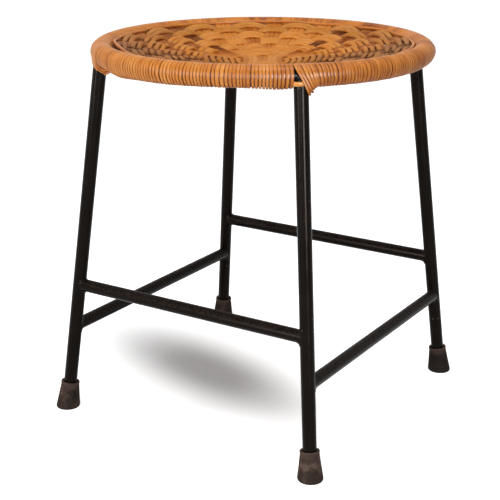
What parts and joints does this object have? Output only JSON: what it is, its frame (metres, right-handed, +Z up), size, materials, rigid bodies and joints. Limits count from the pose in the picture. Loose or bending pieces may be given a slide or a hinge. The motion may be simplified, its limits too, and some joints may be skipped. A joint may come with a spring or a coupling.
{
  "type": "woven stool",
  "caption": "Round stool with a dished woven cane seat bound to a steel ring, on splayed tube legs tied by staggered stretchers, with rubber feet.",
  "frame": {"origin": "on the floor, under the middle of the seat", "axes": "+Z up, -Y towards the front, where the upper stretcher joins the two front legs, +X to the right"},
  "size_m": [0.4018, 0.402, 0.4507],
  "materials": {
    "frame_lacquer": "semi-gloss black lacquer, worn",
    "foot_rubber": "matt, scuffed",
    "binding_cane": "glossy peeled cane",
    "woven_cane": "satin cane",
    "reed": "satin, weathered"
  },
  "bodies": {
    "root": {"seat_ring": "frame_lacquer", "leg_front_left": "frame_lacquer", "ring_weld_front_left": "frame_lacquer", "leg_front_right": "frame_lacquer", "ring_weld_front_right": "frame_lacquer", "leg_back_right": "frame_lacquer", "ring_weld_back_right": "frame_lacquer", "leg_back_left": "frame_lacquer", "ring_weld_back_left": "frame_lacquer", "stretcher_front": "frame_lacquer", "upper_weld_front_left": "frame_lacquer", "upper_weld_front_right": "frame_lacquer", "stretcher_back": "frame_lacquer", "upper_weld_back_left": "frame_lacquer", "upper_weld_back_right": "frame_lacquer", "stretcher_left": "frame_lacquer", "lower_weld_front_left": "frame_lacquer", "lower_weld_back_left": "frame_lacquer", "stretcher_right": "frame_lacquer", "lower_weld_front_right": "frame_lacquer", "lower_weld_back_right": "frame_lacquer", "foot_front_left": "foot_rubber", "foot_front_right": "foot_rubber", "foot_back_right": "foot_rubber", "foot_back_left": "foot_rubber", "rim_binding_front": "binding_cane", "rim_binding_right": "binding_cane", "rim_binding_back": "binding_cane", "rim_binding_left": "binding_cane", "leg_wrap_front_left": "binding_cane", "leg_wrap_back_right": "binding_cane", "leg_wrap_back_left": "binding_cane", "stake_across_1": "reed", "stake_along_1": "reed", "stake_across_2": "reed", "stake_along_2": "reed", "stake_across_3": "reed", "stake_along_3": "reed", "stake_across_4": "reed", "stake_along_4": "reed", "stake_across_5": "reed", "stake_along_5": "reed", "stake_across_6": "reed", "stake_along_6": "reed", "stake_across_7": "reed", "stake_along_7": "reed", "stake_across_8": "reed", "stake_along_8": "reed", "cane_band_1": "woven_cane", "cane_band_2": "woven_cane", "cane_band_3": "woven_cane", "cane_band_4": "woven_cane", "reed_row_1": "reed", "reed_row_2": "reed", "rim_edge_strand": "binding_cane", "leg_lashing_front_right": "binding_cane"}
  },
  "joints": []
}
